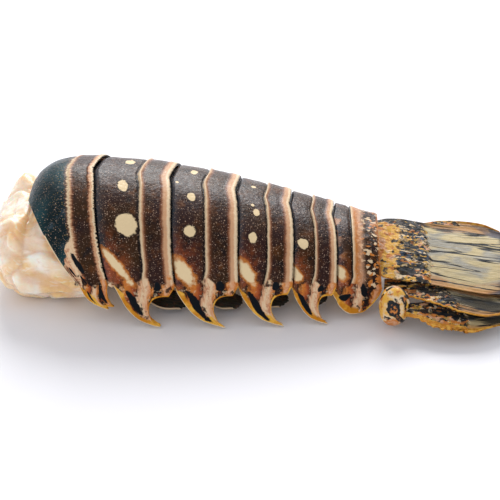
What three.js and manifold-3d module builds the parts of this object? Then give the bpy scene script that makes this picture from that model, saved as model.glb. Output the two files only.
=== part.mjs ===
// Raw spiny lobster tail with its shell on, cut from the body.
// Millimetres, +Z up. The cut end of the meat points to -X and the tail fan to +X.
// It lies on its belly: the hooked side plates and the meat touch the ground at z = 0.
import * as THREE from "three";
import { mergeVertices } from "three/addons/utils/BufferGeometryUtils.js";
import Module from "manifold-3d";

const wasm = await Module();
wasm.setup();

// Shell ----------------------------------------------------------------------

const SHELL = 1.0; // thickness of the shell
const GAP = 0.4; // air left between pieces that touch
const OVERLAP = 2.2; // how far each ring reaches under the one in front of it
const LIP = 2.4; // length of a ring's sunken front lip
const TUCK = 1.5; // how far that lip lies below the ring's back

// Where the rings end along the middle of the back, from the cut end to the fan.
const RING_ENDS = [7.8, 31.5, 57.2, 79.2, 97.4, 111.8, 126];
// How far each of those edges sweeps to the rear on its way down the side.
const RING_SWEEP = [19.6, 6.5, 2.5, 0.5, -0.7, -0.5, 1];
// How far each of those edges is turned about the vertical, in degrees.
const RING_TURN = [0, 0, 1, 3, 5, 5, 4];

// The tail narrows and falls towards the fan: pairs of x and size.
const BACK_HEIGHT = [[31.5, 42.2], [50, 40.8], [70, 37.8], [89, 33.6], [105, 29.4], [112, 27.6], [126, 24.2]];
const HALF_WIDTH = [[31.5, 29.6], [50, 29.6], [70, 28], [89, 25.6], [105, 23.2], [112, 22.2], [126, 18.8]];
const SPRING_HEIGHT = [[31.5, 15.5], [97, 15], [126, 11.5]]; // widest level of the arch
// The first ring closes to a blunt nose: share of its length, then size of its arch.
const DOME_SIZE = [[0, 0.5], [0.02, 0.6], [0.06, 0.7], [0.16, 0.82], [0.34, 0.925], [0.6, 0.98], [1, 1]];

// Banding of a ring's back, from 0 at its front to 1 at its rear edge.
const LIP_BAND = 0.1;
const RIDGE_BAND = 0.6;
const BORDER_BAND = 0.86;
// Where the ridge and the rear border lie on rings 2 to 6, as shares of the ring's length.
const RIDGE_AT = [0, 0, 0.645, 0.575, 0.605, 0.585, 0.46];
const BORDER_AT = [0, 0, 0.86, 0.84, 0.83, 0.83, 0.9];
// The first ring's ridge and border run along its rear edge, this far in front of it.
const FIRST_RIDGE = 8.4;
const FIRST_BORDER = 2.5;
// The bands bend forward to a blunt point along the middle of the back.
const VEE = { depth: 1.3, halfWidth: 6.5, power: 1.3 };
// How much of that bend there is from the front of a ring to its rear edge.
const FIRST_VEE = [[0.3, 0], [RIDGE_BAND, 1]];
const LAST_VEE = [[0.2, 1], [0.5, 0]];

// How a ring stands proud of the plain arch: pairs of banding and lift.
const RING_RELIEF = [
  [0, -TUCK], [LIP_BAND, -1.4], [0.125, -0.4], [0.16, 0], [0.47, 0.12], [0.54, 0], [0.57, -0.3],
  [RIDGE_BAND, 0.75], [0.65, 0.42], [BORDER_BAND, 0.38], [0.9, 0.62], [0.95, 0.65], [1, 0.4],
];
const FIRST_RELIEF = [
  [0, 0], [0.54, 0.12], [0.57, 0.1], [RIDGE_BAND, 0.6], [0.65, 0.42], [BORDER_BAND, 0.38],
  [0.9, 0.62], [0.95, 0.65], [1, 0.46],
];
const LAST_RELIEF = [
  [0, -TUCK], [LIP_BAND, -1.4], [0.125, -0.4], [0.16, 0], [0.54, -0.1], [0.57, -0.3],
  [RIDGE_BAND, 0.55], [0.65, 0.35], [0.9, 0.5], [1, 0.35],
];
const RING_COLUMNS = [0, 0.1, 0.125, 0.16, 0.35, 0.47, 0.54, 0.57, 0.6, 0.65, 0.8, 0.86, 0.9, 0.95, 1];
const ARCH_STEPS = 8; // facets from the spring line to the middle of the back
const PLATE_STEPS = 3; // facets down a side plate

// Side plates: a hooked tooth that points down and back, and a small tooth behind it.
const HOOK = { start: 0.06, tip: 0.57, rise: 1.15, leanPower: 4, flare: 2 };
const HOOK_LEAN = [0, 4.6, 5.9, 6.1, 6.1, 4.8, 0]; // how far each ring's hook leans back
const FIRST_HOOK_REACH = 0.62; // the first hook is short, and its plate is nearly as deep behind it
const FIRST_NOTCH = 0.88;
const SECOND_HOOK_START = 0.16;
const HOOK_NOTCH = 0.23; // depth behind the hook, as a share of the hook's own
const HOOK_FADE = 0.06;
const REAR_TOOTH = 0.92;
const LAST_PLATE = { depth: 0.82, fullness: 0.7 }; // the last ring's plate is a rounded lobe

// Bars that close each ring under the belly.
const BELLY_HEIGHT = 9; // underside of the meat inside the shell
const BAR = { thickness: 1.3, width: 3.4, bow: 0.8, side: 0.8, place: 0.43, lastPlace: 0.5, steps: 6 };

// Meat -----------------------------------------------------------------------

const MEAT_FRONT = -5;
const MEAT_REAR = 120;
const NOSE_END = 9; // x where the rounded front of the cut meat is at its full size
const UNDER_NOSE_END = 15; // the same for its underside
const NOSE_RING_ANGLE = 0.1; // share of a quarter turn between sections of that front
const BULGE = { halfWidth: 25.6, level: 12, underside: -2.2, end: 30 };
const ENTRY = { start: 23, length: 10 }; // where the bulge passes into the shell
const BULGE_TOP = [[4, 34], [9, 29.2], [13, 33.4], [16, 35.6], [23, 37.4]];
const FURROW = [[3, 0.35], [8, 0.24], [14, 0]]; // parts the two upper bundles of muscle
const FURROW_HALF_ANGLE = 0.4;
const SHOULDER = 0.8; // 1 is round, smaller is squarer across the top of the bulge
const REAR_TAPER = 6;
const MEAT_AROUND = 24; // facets round the meat
const WIDE_STEP = 6.2;
const CUT_STEP = 2.6;
const LOBE_FADE = 14;

// Tail fan -------------------------------------------------------------------

// Rounded joint of each side; the far one lies lower, tucked in beside the telson.
const JOINT_TURN = -14;
const JOINTS = {
  near: { radii: [5.6, 5.3, 7.8], place: [132.6, 24.9, 8.9] },
  far: { radii: [5.6, 4.8, 6.2], place: [132.6, 23, 7] },
};

const TELSON = {
  start: 124.8,
  end: 174,
  rows: 10,
  columns: 12,
  inner: [[0, -14.2], [0.1, -16.6], [0.45, -18], [0.85, -19.4], [1, -18.6]],
  outer: [[0, 14.2], [0.1, 16.6], [0.45, 18], [0.85, 19.4], [1, 18.6]],
  innerZ: [[0, 15.4], [0.3, 14.6], [1, 11.2]],
  outerZ: [[0, 17.6], [0.2, 17], [0.4, 15.2], [1, 12.2]],
  camber: 2.8,
  round: 5,
  thick: [2.4, 1.2],
};

const ENDOPOD = {
  start: 131.5,
  end: 173.4,
  rows: 9,
  columns: 6,
  inner: [[0, 15], [0.2, 13.8], [0.45, 13], [1, 15.5]],
  outer: [[0, 20.5], [0.2, 22], [0.35, 24.4], [0.6, 27.6], [0.84, 28.4], [1, 25.6]],
  innerZ: [[0, 11.2], [0.2, 11.8], [0.45, 11.8], [1, 9.3]],
  outerZ: [[0, 10.8], [0.2, 11.5], [0.45, 11.5], [1, 8.4]],
  camber: 0.3,
  round: 5,
  thick: [2, 1],
};

const EXOPOD = {
  start: 133,
  end: 172.6,
  rows: 9,
  columns: 6,
  inner: [[0, 23.2], [0.2, 22.6], [0.45, 20], [1, 19]],
  outer: [[0, 28], [0.2, 29.4], [0.4, 32.6], [0.64, 33.6], [0.8, 32], [1, 27.6]],
  innerZ: [[0, 9], [0.45, 9], [1, 7]],
  outerZ: [[0, 8.4], [0.2, 8], [0.45, 6.2], [1, 5.2]],
  camber: 0.4,
  round: 5,
  thick: [2, 1],
};

// Swimmerets lie flat under the side plates; their edges are measured in from the shell's side.
const SWIMMERET = {
  place: 0.56,
  side: 0.8,
  length: 0.62, // share of the ring's own length
  inner: [[0, 15], [0.5, 17], [1, 14]],
  outer: [[0, 8], [0.5, 4.4], [1, 6]],
  innerZ: [[0, 6], [1, 4.6]],
  outerZ: [[0, 5.8], [1, 3.6]],
};
const SWIMMERET_RINGS = [2, 3, 4, 5];

const COLOURS = {
  shell: 0x46342f,
  dome: 0x26383c,
  rear: 0x6a4a35,
  fan: 0xb98f52,
  joint: 0xc98a3f,
  meat: 0xeedcc6,
  flap: 0x1f2a26,
};

// Small helpers --------------------------------------------------------------

const mix = (a, b, t) => a + (b - a) * t;
const clamp = (x, low, high) => Math.min(high, Math.max(low, x));
const radians = (degrees) => (degrees * Math.PI) / 180;

// Value of a list of [x, value] pairs at x, straight between them.
function along(pairs, x) {
  const after = pairs.findIndex(([at]) => at >= x);
  if (after === 0) return pairs[0][1];
  if (after < 0) return pairs[pairs.length - 1][1];
  const [x0, v0] = pairs[after - 1];
  const [x1, v1] = pairs[after];
  return mix(v0, v1, (x - x0) / (x1 - x0));
}

function geometryOf(points, faces) {
  const geometry = new THREE.BufferGeometry();
  geometry.setAttribute("position", new THREE.Float32BufferAttribute(points.flat(), 3));
  geometry.setIndex(faces.flat());
  geometry.computeVertexNormals();
  return geometry;
}

// Closed body between two sheets of rows x columns points. The outer sheet's faces look
// along (row direction) x (column direction), so `flipped` turns a mirrored body round.
function betweenSheets(rows, columns, outer, inner, flipped = false) {
  const points = [];
  for (const sheet of [outer, inner]) {
    for (let i = 0; i <= rows; i += 1) {
      for (let j = 0; j <= columns; j += 1) points.push(sheet(i, j));
    }
  }
  const span = columns + 1;
  const inside = (rows + 1) * span;
  const faces = [];
  const quad = (a, b, c, d) => faces.push([a, b, c], [a, c, d]);
  for (let i = 0; i < rows; i += 1) {
    for (let j = 0; j < columns; j += 1) {
      const a = i * span + j;
      quad(a, a + span, a + span + 1, a + 1);
      quad(inside + a, inside + a + 1, inside + a + span + 1, inside + a + span);
    }
  }
  for (let i = 0; i < rows; i += 1) {
    const a = i * span;
    const b = a + columns;
    quad(a + span, a, inside + a, inside + a + span);
    quad(b, b + span, inside + b + span, inside + b);
  }
  for (let j = 0; j < columns; j += 1) {
    const b = rows * span + j;
    quad(j, j + 1, inside + j + 1, inside + j);
    quad(b + 1, b, inside + b, inside + b + 1);
  }
  return geometryOf(points, flipped ? faces.map(([a, b, c]) => [a, c, b]) : faces);
}

function toSolid(geometry) {
  const bare = geometry.clone();
  bare.deleteAttribute("normal");
  bare.deleteAttribute("uv");
  const merged = mergeVertices(bare, 1e-4);
  return new wasm.Manifold(
    new wasm.Mesh({
      numProp: 3,
      vertProperties: merged.attributes.position.array,
      triVerts: new Uint32Array(merged.index.array),
    }),
  );
}

function fromSolid(solid) {
  const { vertProperties, triVerts } = solid.getMesh();
  const geometry = new THREE.BufferGeometry();
  geometry.setAttribute("position", new THREE.BufferAttribute(vertProperties, 3));
  geometry.setIndex(new THREE.BufferAttribute(triVerts, 1));
  geometry.computeVertexNormals();
  return geometry;
}

function finish(colour, roughness = 0.45) {
  return new THREE.MeshStandardMaterial({ color: colour, roughness, metalness: 0 });
}

function piece(name, geometry, material) {
  const mesh = new THREE.Mesh(geometry, material);
  mesh.name = name;
  return mesh;
}

// Shell rings ----------------------------------------------------------------

const ringLength = (number) => RING_ENDS[number] - RING_ENDS[number - 1];

// Angle up the arch at a place round the ring, and how far down the side plate it is.
function roundTheRing(side) {
  const share = Math.abs(side) * (ARCH_STEPS + PLATE_STEPS);
  const angle = (Math.PI / 2) * Math.max(0, 1 - share / ARCH_STEPS);
  const drop = clamp((share - ARCH_STEPS) / PLATE_STEPS, 0, 1);
  return { angle, drop };
}

// Scale of the first ring's arch: it closes towards a blunt nose at the cut end.
function domeScale(x) {
  const [nose, end] = RING_ENDS;
  return along(DOME_SIZE, (x - nose) / (end - nose));
}

const hookReach = (number) => (number === 1 ? FIRST_HOOK_REACH : 1);

// Depth of the side plate at u, as a share of the way down to the ground.
function plateDepth(number, u) {
  if (number === 6) return LAST_PLATE.depth * Math.sin(Math.PI * clamp(u, 0, 1)) ** LAST_PLATE.fullness;
  const reach = hookReach(number);
  const start = number === 2 ? SECOND_HOOK_START : HOOK.start;
  if (u <= start) return 0;
  if (u <= HOOK.tip) {
    const t = (u - start) / (HOOK.tip - start);
    return reach * Math.sin((Math.PI / 2) * t) ** HOOK.rise;
  }
  const notch = number === 1 ? FIRST_NOTCH : HOOK_NOTCH;
  const behind = notch + (1 - notch) * Math.exp((HOOK.tip - u) / HOOK_FADE);
  return reach * Math.min(behind, (notch * (1 - u)) / (1 - REAR_TOOTH));
}

// Share of the ring's length at a place in its banding. Down the side plates the banding
// gives way to even shares.
function shareAt(number, band, side) {
  const { angle, drop } = roundTheRing(side);
  let lip = LIP / (ringLength(number) + OVERLAP);
  let ridge = RIDGE_AT[number];
  let border = BORDER_AT[number];
  if (number === 1) {
    const lost = (RING_SWEEP[0] - RING_SWEEP[1]) * (1 - Math.sin(angle));
    const length = ringLength(1) - lost;
    lip = LIP_BAND;
    ridge = 1 - FIRST_RIDGE / length;
    border = 1 - FIRST_BORDER / length;
  }
  const banded = along([[0, 0], [LIP_BAND, lip], [RIDGE_BAND, ridge], [BORDER_BAND, border], [1, 1]], band);
  return mix(banded, band, drop);
}

function reliefOf(number) {
  if (number === 1) return FIRST_RELIEF;
  return number === 6 ? LAST_RELIEF : RING_RELIEF;
}

// Point of a ring's surface. u runs from its front to its rear, side from -1 at the lower
// edge of the right plate over the back to +1, and lift is measured out from the plain arch.
function ringPoint(number, u, side, lift) {
  const hand = Math.sign(side) || 1;
  const { angle, drop } = roundTheRing(side);
  const down = drop * plateDepth(number, u);

  const front = RING_ENDS[number - 1] - (number === 1 ? 0 : OVERLAP);
  const middle = mix(front, RING_ENDS[number], u);
  const sweep = mix(RING_SWEEP[number - 1], RING_SWEEP[number], u) * (1 - Math.sin(angle));
  const lean = HOOK_LEAN[number] * (down / hookReach(number)) ** HOOK.leanPower;
  const x = middle + sweep + lean;

  const spring = along(SPRING_HEIGHT, middle);
  const scale = number === 1 ? domeScale(x) : 1;
  const flare = number === 1 || number === 6 ? 0 : HOOK.flare * down ** 2;
  const across = along(HALF_WIDTH, middle) * scale + lift + flare;
  const rise = (along(BACK_HEIGHT, middle) - spring) * scale + lift;
  const y = across * Math.cos(angle) * hand;
  const turn = Math.tan(radians(mix(RING_TURN[number - 1], RING_TURN[number], u)));
  const z = spring + rise * Math.sin(angle) - spring * down;
  return [x - turn * y, y, z];
}

// How far the banding bends forward near the middle of the back.
function vee(number, band, y) {
  const near = Math.exp(-((Math.abs(y) / VEE.halfWidth) ** VEE.power));
  let share = 1;
  if (number === 1) share = along(FIRST_VEE, band);
  if (number === 6) share = along(LAST_VEE, band);
  return VEE.depth * near * share;
}

// Bar that closes a ring under the belly, from plate to plate.
function bellyBar(number) {
  const u = number === 6 ? BAR.lastPlace : BAR.place;
  const right = ringPoint(number, u, -BAR.side, -SHELL / 2);
  const left = ringPoint(number, u, BAR.side, -SHELL / 2);
  const sheet = (depth) => (i, j) => {
    const t = i / BAR.steps;
    const bow = BAR.bow * (2 * t - 1) ** 2;
    const x = mix(right[0], left[0], t) + BAR.width * (0.5 - j);
    return [x, mix(right[1], left[1], t), BELLY_HEIGHT - GAP - BAR.thickness * depth - bow];
  };
  return betweenSheets(BAR.steps, 1, sheet(0), sheet(1));
}

function ring(number) {
  const columns = 2 * (ARCH_STEPS + PLATE_STEPS);
  const relief = reliefOf(number);
  const surface = (below) => (i, j) => {
    const band = RING_COLUMNS[i];
    const side = (2 * j) / columns - 1;
    const lift = along(relief, band) - below;
    const [x, y, z] = ringPoint(number, shareAt(number, band, side), side, lift);
    return [x - vee(number, band, y), y, z];
  };
  const skin = betweenSheets(RING_COLUMNS.length - 1, columns, surface(0), surface(SHELL));
  return number === 1 ? skin : fromSolid(toSolid(skin).add(toSolid(bellyBar(number))));
}

// Meat -----------------------------------------------------------------------

// Rounded lobes of the cut meat: how far the surface stands out at x and angle. Three waves
// go round it, drifting along its length, with a finer ripple of seven over them.
function lobes(x, angle) {
  const fade = clamp((BULGE.end - 4 - x) / LOBE_FADE, 0, 1);
  const wave = Math.sin(3 * angle + 0.35 * x) * Math.cos(0.42 * x + 1.7 * Math.sin(angle));
  const ripple = Math.sin(7 * angle - 0.5 * x + 1);
  return fade * (1.1 * wave + 0.5 * ripple);
}

// Half width, widest level, top, bottom, squareness and depth of the furrow of the meat at x.
function meatSize(x) {
  const roundedTo = (end) => Math.sqrt(1 - clamp((end - x) / (end - MEAT_FRONT), 0, 1) ** 2);
  const nose = roundedTo(NOSE_END);
  const tip = Math.sqrt(clamp((MEAT_REAR - x) / REAR_TAPER, 0, 1));
  const within = clamp((x - ENTRY.start) / ENTRY.length, 0, 1);
  const inset = SHELL + TUCK + 2 * GAP;
  const shellTop = along(BACK_HEIGHT, x) - inset;
  const shellHalf = along(HALF_WIDTH, x) - inset;
  const half = mix(BULGE.halfWidth, shellHalf, within) * nose * tip;
  const level = mix(BULGE.level, along(SPRING_HEIGHT, x), within);
  const risen = along([...BULGE_TOP, [34, shellTop]], x);
  const floor = along([[BULGE.end + 1, BULGE.underside], [BULGE.end + 8, BELLY_HEIGHT]], x);
  return {
    half,
    level,
    top: level + (risen - level) * nose * tip,
    bottom: level - (level - floor) * roundedTo(UNDER_NOSE_END) * tip,
    shoulder: mix(SHOULDER, 1, within),
    furrow: along(FURROW, x),
  };
}

// x of each section of the meat, closest together where it is cut.
function meatStations() {
  const stations = [];
  for (let t = NOSE_RING_ANGLE; t < 1; t += NOSE_RING_ANGLE) {
    stations.push(mix(NOSE_END, MEAT_FRONT, Math.cos((Math.PI / 2) * t)));
  }
  for (let x = NOSE_END; x < BULGE.end + 8; x += CUT_STEP) stations.push(x);
  for (let x = BULGE.end + 10; x < MEAT_REAR - 1; x += WIDE_STEP) stations.push(x);
  return stations;
}

function meat() {
  const stations = meatStations();
  const points = [[MEAT_FRONT, 0, BULGE.level]];
  for (const x of stations) {
    const { half, level, top, bottom, shoulder, furrow } = meatSize(x);
    for (let j = 0; j < MEAT_AROUND; j += 1) {
      const angle = (2 * Math.PI * j) / MEAT_AROUND;
      const upper = Math.sin(angle) > 0;
      const out = lobes(x, angle);
      const parted = 1 - furrow * Math.exp(-(((angle - Math.PI / 2) / FURROW_HALF_ANGLE) ** 2));
      const rise = upper ? (top - level) * parted : level - bottom;
      const squared = (share) => Math.sign(share) * Math.abs(share) ** (upper ? shoulder : 1);
      const y = (half + out) * squared(Math.cos(angle));
      points.push([x, y, Math.max(0, level + (rise + out) * squared(Math.sin(angle)))]);
    }
  }
  points.push([MEAT_REAR, 0, along(SPRING_HEIGHT, MEAT_REAR)]);
  const faces = [];
  const last = stations.length - 1;
  const at = (i, j) => 1 + i * MEAT_AROUND + (j % MEAT_AROUND);
  for (let j = 0; j < MEAT_AROUND; j += 1) {
    faces.push([0, at(0, j + 1), at(0, j)]);
    faces.push([points.length - 1, at(last, j), at(last, j + 1)]);
    for (let i = 0; i < last; i += 1) {
      faces.push([at(i, j), at(i, j + 1), at(i + 1, j + 1)]);
      faces.push([at(i, j), at(i + 1, j + 1), at(i + 1, j)]);
    }
  }
  return geometryOf(points, faces);
}

// Tail fan and swimmerets ----------------------------------------------------

// Thin blade from x = start to x = end. inner and outer give y along it, innerZ and outerZ
// the height of its upper face, camber the extra height between the edges.
function blade(form, hand = 1) {
  const sheet = (below) => (i, j) => {
    const s = i / form.rows;
    const t = j / form.columns;
    const edge = Math.abs(2 * t - 1);
    const end = form.end - form.round * edge ** 2.5;
    const x = mix(form.start, end, s);
    const y = mix(along(form.inner, s), along(form.outer, s), t);
    const crown = form.camber * (1 - edge ** 2);
    const z = mix(along(form.innerZ, s), along(form.outerZ, s), t) + crown;
    const thickness = mix(form.thick[0], form.thick[1], s) * (1 - 0.45 * edge ** 4);
    return [x, hand * y, z - below * thickness];
  };
  return betweenSheets(form.rows, form.columns, sheet(0), sheet(1), hand < 0);
}

// Rounded joint that carries both blades of one side of the fan, grown by `extra` all round.
function joint(hand, extra = 0) {
  const { radii, place } = hand < 0 ? JOINTS.near : JOINTS.far;
  const [x, y, z] = place;
  const geometry = new THREE.SphereGeometry(1, 16, 12);
  geometry.scale(...radii.map((radius) => radius + extra));
  geometry.rotateZ(radians(JOINT_TURN * hand));
  geometry.translate(x, hand * y, z);
  return geometry;
}

// Side blade of the fan: it starts at the joint, with a hair of air between them.
function sideBlade(form, hand) {
  return fromSolid(toSolid(blade(form, hand)).subtract(toSolid(joint(hand, GAP))));
}

function swimmeret(number, hand) {
  const start = ringPoint(number, SWIMMERET.place, SWIMMERET.side, 0)[0];
  const half = along(HALF_WIDTH, start);
  const fromMiddle = (pairs) => pairs.map(([at, inset]) => [at, half - inset]);
  const form = {
    start,
    end: start + ringLength(number) * SWIMMERET.length,
    rows: 5,
    columns: 4,
    inner: fromMiddle(SWIMMERET.inner),
    outer: fromMiddle(SWIMMERET.outer),
    innerZ: SWIMMERET.innerZ,
    outerZ: SWIMMERET.outerZ,
    camber: 0.5,
    round: 3,
    thick: [1.2, 0.8],
  };
  return blade(form, hand);
}

// Assembly -------------------------------------------------------------------

const root = new THREE.Group();
root.add(piece("meat", meat(), finish(COLOURS.meat, 0.3)));

for (let number = 1; number <= 6; number += 1) {
  let colour = COLOURS.shell;
  if (number === 1) colour = COLOURS.dome;
  if (number === 6) colour = COLOURS.rear;
  root.add(piece(`shell_${number}`, ring(number), finish(colour)));
}

root.add(piece("telson", blade(TELSON), finish(COLOURS.fan)));
for (const [name, hand] of [["near", -1], ["far", 1]]) {
  root.add(piece(`uropod_base_${name}`, joint(hand), finish(COLOURS.joint)));
  root.add(piece(`endopod_${name}`, sideBlade(ENDOPOD, hand), finish(COLOURS.fan)));
  root.add(piece(`exopod_${name}`, sideBlade(EXOPOD, hand), finish(COLOURS.fan)));
  for (const number of SWIMMERET_RINGS) {
    root.add(piece(`swimmeret_${number}_${name}`, swimmeret(number, hand), finish(COLOURS.flap, 0.6)));
  }
}

// The origin is the middle of the bottom of the whole tail's box.
const box = new THREE.Box3().setFromObject(root, true);
const middle = box.getCenter(new THREE.Vector3());
root.position.set(-middle.x, -middle.y, -box.min.z);

export default root;
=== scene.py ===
import functools
import math

import bmesh
import bpy
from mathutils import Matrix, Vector, noise


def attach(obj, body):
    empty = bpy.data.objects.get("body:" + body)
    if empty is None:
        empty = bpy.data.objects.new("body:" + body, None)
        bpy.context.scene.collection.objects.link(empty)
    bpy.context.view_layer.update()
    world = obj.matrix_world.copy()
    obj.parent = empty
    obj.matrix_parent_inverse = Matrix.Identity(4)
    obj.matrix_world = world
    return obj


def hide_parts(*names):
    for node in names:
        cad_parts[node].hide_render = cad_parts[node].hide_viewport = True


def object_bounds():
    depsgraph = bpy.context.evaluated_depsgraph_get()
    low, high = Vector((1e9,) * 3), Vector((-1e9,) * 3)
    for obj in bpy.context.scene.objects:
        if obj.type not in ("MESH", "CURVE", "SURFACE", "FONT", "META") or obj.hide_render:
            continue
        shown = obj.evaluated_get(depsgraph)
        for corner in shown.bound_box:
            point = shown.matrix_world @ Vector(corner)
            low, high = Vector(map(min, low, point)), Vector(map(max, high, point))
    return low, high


bl_info = {
    "name": "Raw lobster tail",
    "version": (1, 0, 0),
    "blender": (4, 5, 0),
    "location": "3D View > Sidebar > Lobster tail",
    "description": "Dresses a raw lobster tail: shell rings, cut meat, tail fan and swimmerets",
    "category": "Add Mesh",
}

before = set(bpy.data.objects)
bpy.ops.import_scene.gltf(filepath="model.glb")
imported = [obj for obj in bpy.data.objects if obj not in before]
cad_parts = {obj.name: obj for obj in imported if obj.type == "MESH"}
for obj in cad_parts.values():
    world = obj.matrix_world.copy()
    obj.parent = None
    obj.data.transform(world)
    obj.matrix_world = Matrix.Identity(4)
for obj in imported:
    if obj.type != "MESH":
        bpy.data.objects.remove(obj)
cad_low, cad_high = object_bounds()

MM = 0.001
LOWEST = 1.1  # in millimetres, as all that follows: height of the lowest point of a hook
TIP_HEIGHT = 3.0  # the hooks are squeezed below this height, so that they keep their points
WIDEST = 32.6  # no blade of the fan reaches further to its side
HANDS = (("near", -1), ("far", 1))

# --- Form of the tail in millimetres, as the solids have it ---

MEAT_FRONT = -5.0
MEAT_REAR = 120.0
MEAT_SEED = 5  # of the noise that pushes its lobes about
MEAT_NOSE = 9.0  # the rounded cut end reaches back to here
MEAT_SHOWS = 40.0  # ahead of this the mesh is dense
SHIFT = cad_low.x / MM - MEAT_FRONT  # from the tail's own x to the frame's

OVERLAP = 2.2  # how far each ring starts under the one ahead of it
TUCK = 1.5
SHELL = 1.0
GAP = 0.4
BELLY = 9.0

RING_ENDS = (7.8, 31.5, 57.2, 79.2, 97.4, 111.8, 126.0)
RING_SWEEP = (19.6, 6.5, 2.5, 0.5, -0.7, -0.5, 1.0)
RING_TURN = (0.0, 0.0, 1.0, 3.0, 5.0, 5.0, 4.0)
BACK_HEIGHT = ((31.5, 42.2), (50, 40.8), (70, 37.8), (89, 33.6), (105, 29.4), (112, 27.6), (126, 24.2))
HALF_WIDTH = ((31.5, 29.6), (50, 29.6), (70, 28), (89, 25.6), (105, 23.2), (112, 22.2), (126, 18.8))
SPRING_HEIGHT = ((31.5, 15.5), (97, 15), (126, 11.5))
# The first ring closes to a blunt nose: share of its length, then size of its arch.
DOME_SIZE = ((0, 0.5), (0.02, 0.6), (0.06, 0.7), (0.16, 0.82), (0.34, 0.925), (0.6, 0.98), (1, 1))

RING_ROWS, RING_COLUMNS = 96, 300  # faces of a ring from front to rear, and round it
ARCH = 8 / 11  # share of the way round one side that is back, the rest is side plate
RIDGE_AT = {2: 0.645, 3: 0.575, 4: 0.605, 5: 0.585, 6: 0.46}
BORDER_AT = {2: 0.86, 3: 0.84, 4: 0.83, 5: 0.83, 6: 0.90}
FIRST_RIDGE = 8.4
FIRST_BORDER = 2.5
LIP = 2.4
LIP_BAND = 0.10
RIDGE_BAND = 0.60
BORDER_BAND = 0.86
HOOK_START = {2: 0.16}  # along the ring, as the tip and the tooth; the other rings have 0.06
HOOK_TIP = 0.57
HOOK_LEAN = (0, 4.6, 5.9, 6.1, 6.1, 4.8, 0)
HOOK_FLARE = 2.0
HOOK_CURVE = 1.15  # power that rounds the front edge of a hook
FIRST_REACH = 0.62
NOTCH = {1: 0.88}  # depth left behind the hook; the other rings have 0.23
NOTCH_FADE = 0.06
TOOTH = 0.92
LAST_PLATE = 0.82
PLATE_HEIGHT = 15  # of a whole side plate
RIM_WIDTH = 0.55
YOLK_FRONT, YOLK_REAR = 4.6, 2.0  # width of the yellow edge ahead of a hook's tip and behind it
PEAK, PEAK_WIDTH = 1.3, 6.5  # how far the lines across the back bend forward, and how broadly
BAR_AT, LAST_BAR_AT, BAR_LENGTH = 0.43, 0.5, 3.4  # bars under the belly

# How a ring stands out from the plain arch, by its banding from front to rear.
RING_RELIEF = (
    (0, -1.5), (0.1, -1.35), (0.125, -0.35), (0.16, 0.02), (0.45, 0.12), (0.54, 0.02), (0.572, -0.35),
    (0.598, 0.75), (0.64, 0.42), (0.75, 0.42), (0.86, 0.34), (0.91, 0.6), (0.98, 0.55), (1, 0.3),
)
FIRST_RELIEF = (
    (0, 0), (0.3, 0.1), (0.55, 0.12), (0.58, 0.08), (0.605, 0.55), (0.66, 0.42), (0.75, 0.42),
    (0.86, 0.34), (0.91, 0.6), (0.98, 0.55), (1, 0.3),
)
LAST_RELIEF = (
    (0, -1.5), (0.1, -1.35), (0.125, -0.35), (0.16, 0.02), (0.45, 0.05), (0.56, -0.35), (0.6, 0.5),
    (0.68, 0.35), (0.8, 0.35), (0.92, 0.45), (1, 0.2),
)


def clamp(value, low=0.0, high=1.0):
    return min(high, max(low, value))


def mix(a, b, t):
    return a + (b - a) * t


def smooth(low, high, value):
    t = clamp((value - low) / (high - low))
    return t * t * (3 - 2 * t)


def along(pairs, x, eased=False):
    """Straight between the pairs, or in smooth steps."""
    if x <= pairs[0][0]:
        return pairs[0][1]
    for (x0, v0), (x1, v1) in zip(pairs, pairs[1:]):
        if x <= x1:
            return mix(v0, v1, smooth(x0, x1, x) if eased else (x - x0) / (x1 - x0))
    return pairs[-1][1]


def curved(pairs, x):
    """A smooth curve through the pairs."""
    if x <= pairs[0][0]:
        return pairs[0][1]
    if x >= pairs[-1][0]:
        return pairs[-1][1]
    i = max(n for n, (at, _) in enumerate(pairs[:-1]) if at <= x)
    (x0, v0), (x1, v1) = pairs[i], pairs[i + 1]
    before = pairs[max(0, i - 1)]
    after = pairs[min(len(pairs) - 1, i + 2)]
    slope0 = (v1 - before[1]) / (x1 - before[0])
    slope1 = (after[1] - v0) / (after[0] - x0)
    span = x1 - x0
    t = (x - x0) / span
    t2, t3 = t * t, t * t * t
    return (
        (2 * t3 - 3 * t2 + 1) * v0 + (t3 - 2 * t2 + t) * span * slope0
        + (3 * t2 - 2 * t3) * v1 + (t3 - t2) * span * slope1
    )


def rough(x, y, z, seed=0.0):
    """Soft noise from -1 to 1 at a place in millimetres divided by the wished size."""
    return noise.noise(Vector((x + seed, y - seed * 0.7, z + seed * 1.3)))


def hump(value, middle, half_width):
    return math.exp(-(((value - middle) / half_width) ** 2))


def cell_distances(place):
    """Distances from a place to the nearest random points, the nearest first."""
    return noise.voronoi(place, distance_metric="DISTANCE", exponent=2.0)[0]


def to_frame(x, y, z):
    return Vector(((x + SHIFT) * MM, y * MM, z * MM))


def float_layers(bm, names):
    return {name: bm.verts.layers.float.new(name) for name in names.split()}


def fill(vert, layers, **values):
    for name, value in values.items():
        vert[layers[name]] = value


# --- Shell rings ---


def dome_scale(x):
    nose, end = RING_ENDS[0], RING_ENDS[1]
    return curved(DOME_SIZE, (x - nose) / (end - nose))


def ring_length(ring):
    return RING_ENDS[ring] - RING_ENDS[ring - 1] + OVERLAP


def arch_angle(side):
    """Angle up the arch: a right angle on top of the back, 0 where the side plate starts."""
    return math.pi / 2 * max(0.0, 1 - abs(side) / ARCH)


def plate_drop(side):
    """Share of the way down the side plate: 0 on the whole arch, 1 at the lower edge."""
    return clamp((abs(side) - ARCH) / (1 - ARCH))


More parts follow.
